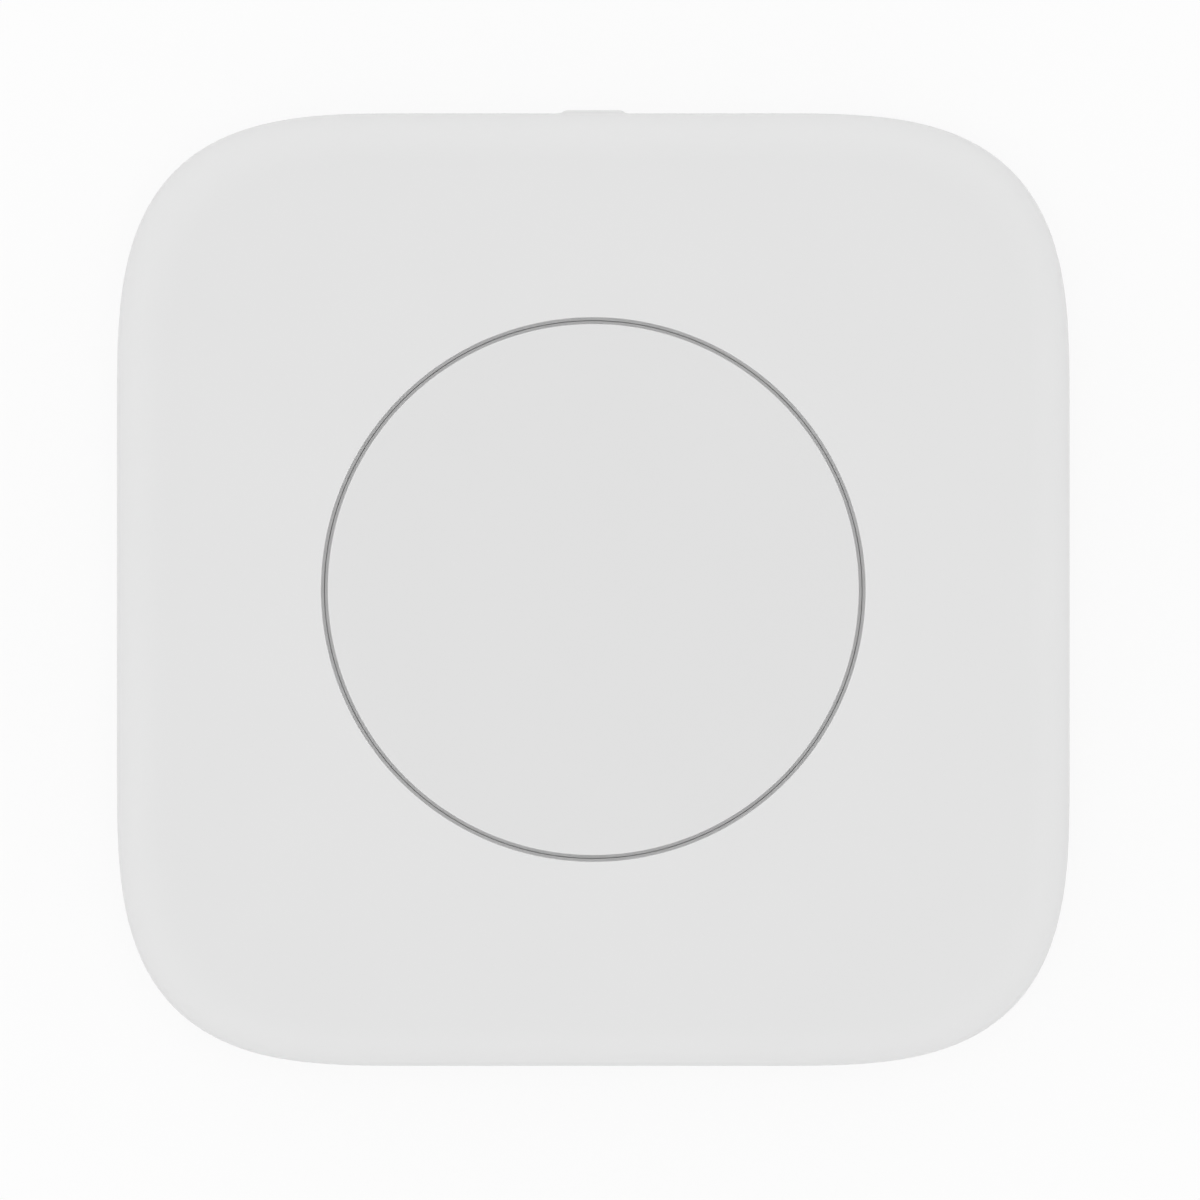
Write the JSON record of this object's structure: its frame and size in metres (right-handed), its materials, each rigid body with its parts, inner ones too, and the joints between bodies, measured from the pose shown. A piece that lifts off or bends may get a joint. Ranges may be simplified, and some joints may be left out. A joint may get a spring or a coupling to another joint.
{
  "type": "smart button",
  "caption": "Rounded-square battery-powered wireless push button with a flush round key, a coin cell, a tactile switch and a stick-down rear cover.",
  "frame": {"origin": "centre of the adhesive pad's sticky face, which is the lowest face", "axes": "+Z out of the button's face, +Y towards the pry tab, +X to the right seen from the front"},
  "size_m": [0.045, 0.0451, 0.012],
  "materials": {
    "case_plastic": "matte",
    "button_plastic": "matte",
    "foam_tape": "matte",
    "silicone": "matte",
    "spring_steel": "satin",
    "clear_plastic": "gloss",
    "board_laminate": "satin",
    "screw_steel": "satin",
    "black_plastic": "matte",
    "nickel": "satin",
    "chip_resin": "matte",
    "antenna_ceramic": "satin",
    "capacitor_ceramic": "satin",
    "resistor_ceramic": "satin",
    "cell_steel": "satin",
    "seal_plastic": "satin",
    "pellet": "matte",
    "separator_film": "matte",
    "lithium": "satin"
  },
  "bodies": {
    "base": {"rear_cover": "case_plastic", "adhesive_pad": "foam_tape"},
    "front": {"front_housing": "case_plastic", "return_spring": "spring_steel", "light_ring": "clear_plastic", "main_board": "board_laminate", "board_screws": "screw_steel", "switch_base": "black_plastic", "switch_terminals": "nickel", "switch_dome": "spring_steel", "switch_frame": "spring_steel", "status_led": "clear_plastic", "radio_chip": "chip_resin", "crystal": "nickel", "chip_antenna": "antenna_ceramic", "capacitors": "capacitor_ceramic", "resistors": "resistor_ceramic", "cell_holder": "black_plastic", "positive_contact": "nickel", "negative_contact": "nickel", "cell_can": "cell_steel", "cell_gasket": "seal_plastic", "cell_cap": "cell_steel", "cathode_pellet": "pellet", "cell_separator": "separator_film", "lithium_disc": "lithium"},
    "button": {"button_cap": "button_plastic", "button_pad": "silicone"},
    "plunger": {"switch_plunger": "black_plastic"}
  },
  "joints": [
    {"name": "cover_release", "type": "slide", "parent": "base", "child": "front", "axis": [0, 0, 1], "range_m": [0, 0.015]},
    {"name": "button_press", "type": "slide", "parent": "front", "child": "button", "axis": [0, 0, -1], "range_m": [0, 0.0003], "stiffness_N_per_m": 1000, "springref_m": -0.0005, "deforming": ["return_spring", "switch_dome"]},
    {"name": "plunger_press", "type": "slide", "parent": "front", "child": "plunger", "axis": [0, 0, -1], "range_m": [0, 0.0003]}
  ],
  "couplings": [
    {"joint": "plunger_press", "follows": "button_press", "ratio": 1}
  ]
}
